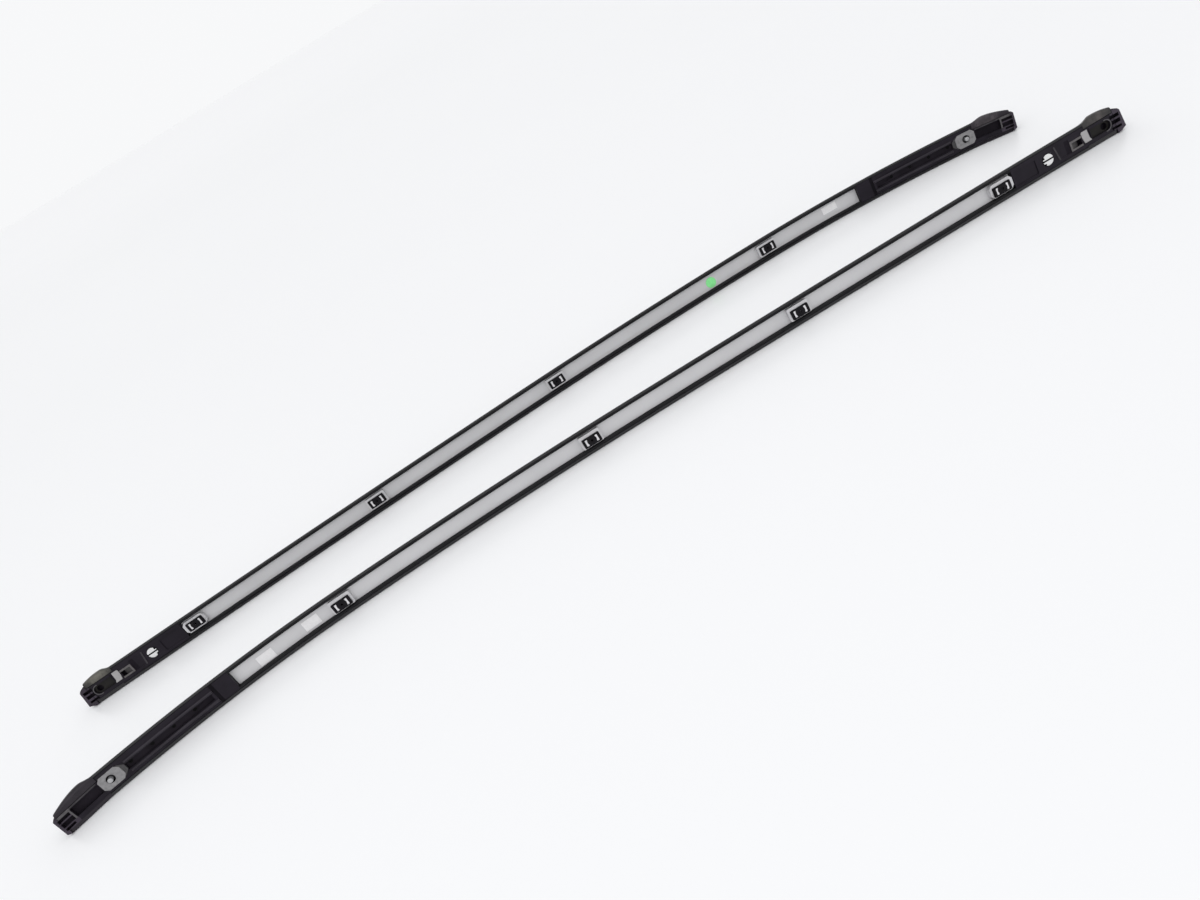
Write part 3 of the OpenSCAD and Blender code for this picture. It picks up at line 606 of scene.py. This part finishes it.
# Zones of the rear foot and its plug
REAR_S, PLUG_S = 60, 137
REAR_CUTS = (18, 97, 104)
REAR_ZONES = (
    # the end block, lightened to stand in for the light on it
    ("block", box(s=less(-42.5), h=less(0.3))),
    ("trough", box(s=less(-2), h=more(0.3))),
    ("pocket", box(s=(-40, -2), h=(3.2, 3.6), v=(-9.7, 6.9))),
    ("trough", box(s=(-38, -22), h=more(3.7), v=(-7.5, 4.5))),
    # a band after the window, given the duller trough finish as painted shadow
    ("trough", box(s=(36.9, 44.1), h=less(0.3), v=(-12, 12))),
    ("slope", box(s=(13, 34), h=more(0.9), v=(-8, 3), n=(-0.97, -0.3))),
    # the slanted rib, painted lighter as a highlight
    ("line_highlight", box(s=(56, 65), h=less(-0.85))),
    # the rim round the rear pocket, painted as a highlight
    ("rim", box(s=(-41, -28), h=less(-0.9), v=(-11.7, 8.7), n=less(-0.3))))
# the plug's slot is painted near-black as the shade inside it
PLUG_SLOT = (("deep", box(h=more(-0.4))),)

# The end blocks' outer corners: station of the corner and outward distance it is rounded down to
FRONT_CORNER, REAR_CORNER = (1955.6, 13.2), (13.6, 18.3)


def round_corner(foot, side, s, far):
    """Pull the outer corner of an end block in to the cover."""
    loc = Local(side, s)
    for p in foot.data.vertices:
        along, deep, out = loc(p.co)
        if abs(along) < 1.2 and out > far and deep < 14:
            p.co += Vector((loc.v * (far - out)).tolist())
            p.co += Vector((loc.h * max(0, 1.5 - deep)).tolist())


def rail(side):
    """All the pieces of one rail."""
    extrusion(side)
    done = {name: copy_node(side + "_" + name, key, bevel) for name, key, bevel in COPIES}
    front, rear = done["front_foot"], done["rear_foot"]
    round_corner(front, side, *FRONT_CORNER)
    round_corner(rear, side, *REAR_CORNER)
    split(front, side, FRONT_CUTS)
    split_out(front, side, LEDGE_S, LEDGE_REACH, LEDGE_CUTS)
    split(rear, side, REAR_CUTS)
    paint(front, side, BLOCK_S, FRONT_TIP)
    paint(front, side, TROUGH_S, FRONT_TROUGH, bend=R3)
    paint(front, side, LEDGE_S, FRONT_LEDGE)
    paint(front, side, STUD_S, STUD_HOLE)
    paint(done["front_plate"], side, PLATE_S, PLATE_LIP)
    paint(done["locating_plug"], side, PLUG_S, PLUG_SLOT)
    paint(rear, side, REAR_S, REAR_ZONES)
    sockets(side)
    cover(side, "front")
    cover(side, "rear")
    stud(side)


for side in ("right", "left"):
    rail(side)
for node, key in (("right_label", "label"), ("left_labels", "label"), ("right_green_dot", "green")):
    copy_node(node, key, 0.05)

# A plain pale floor, in metres
PALE = (0.945, 0.948, 0.952)
floor = mesh_object("floor", [(-150, -60, 0), (150, -60, 0), (150, 200, 0), (-150, 200, 0)],
                    [(0, 1, 2, 3)])
pale = bpy.data.materials.new("floor_pale")
pale.use_nodes = True
tree = pale.node_tree
shader = tree.nodes["Principled BSDF"]
shader.inputs["Roughness"].default_value = 0.28
shader.inputs["Specular IOR Level"].default_value = 0.5
spots = add(tree, "TexCoord")
cloud = add(tree, "TexNoise", {"Scale": 0.6})
ramp = add(tree, "ValToRGB")
ramp.color_ramp.elements[0].color = (*[c - 0.02 for c in PALE], 1)
ramp.color_ramp.elements[1].color = (*PALE, 1)
tree.links.new(spots.outputs["Object"], cloud.inputs["Vector"])
tree.links.new(cloud.outputs["Fac"], ramp.inputs["Fac"])
tree.links.new(ramp.outputs["Color"], shader.inputs["Base Color"])
floor.data.materials.append(pale)

# Even light from all round; the camera, reflections and transmission see a plain pale room
room = bpy.data.worlds.new("soft_room")
bpy.context.scene.world = room
room.use_nodes = True
tree = room.node_tree
light = tree.nodes["Background"]
light.inputs["Color"].default_value = (0.98, 0.985, 1.0, 1)
light.inputs["Strength"].default_value = 0.97
seen = add(tree, "Background", {"Color": (0.935, 0.94, 0.95, 1), "Strength": 1.0})
path = add(tree, "LightPath")
rays = path.outputs["Is Camera Ray"]
for ray in ("Is Glossy Ray", "Is Transmission Ray"):
    either = add(tree, "Math", operation="MAXIMUM")
    tree.links.new(rays, either.inputs[0])
    tree.links.new(path.outputs[ray], either.inputs[1])
    rays = either.outputs[0]
choice = add(tree, "MixShader")
tree.links.new(rays, choice.inputs[0])
tree.links.new(light.outputs[0], choice.inputs[1])
tree.links.new(seen.outputs[0], choice.inputs[2])
tree.links.new(choice.outputs[0], tree.nodes["World Output"].inputs[0])

# One large soft light from the front left, aimed at the middle of the pair
softbox = bpy.data.lights.new("front_softbox", "AREA")
softbox.shape = "RECTANGLE"
softbox.size, softbox.size_y = 3.0, 1.6
softbox.energy = 9
lamp = link_object("front_softbox", softbox)
lamp.location = (-0.8, -2.6, 2.2)
lamp.rotation_euler = (-lamp.location).to_track_quat("-Z", "Y").to_euler()

# The photo's camera: it looks down and is rolled, at DISTANCE metres from the point it aims at
LOOK_DOWN, ROLL, DISTANCE = math.radians(32.08), math.radians(31.20), 1.288
AIM = Vector((0.3725, -72.2235, 0)) * MM
ahead = Vector((0, math.cos(LOOK_DOWN), -math.sin(LOOK_DOWN)))
level = Vector((1, 0, 0))
below = ahead.cross(level)
right = level * math.cos(ROLL) + below * math.sin(ROLL)
down = -level * math.sin(ROLL) + below * math.cos(ROLL)
lens = bpy.data.cameras.new("camera")
lens.sensor_width = 36
lens.lens = 24
lens.clip_start = 0.01
lens.clip_end = 600
camera = link_object("camera", lens)
basis = Matrix((right, -down, -ahead)).transposed().to_4x4()
basis.translation = AIM - ahead * DISTANCE
camera.matrix_world = basis
bpy.context.scene.camera = camera
bpy.context.scene.view_settings.view_transform = "Standard"
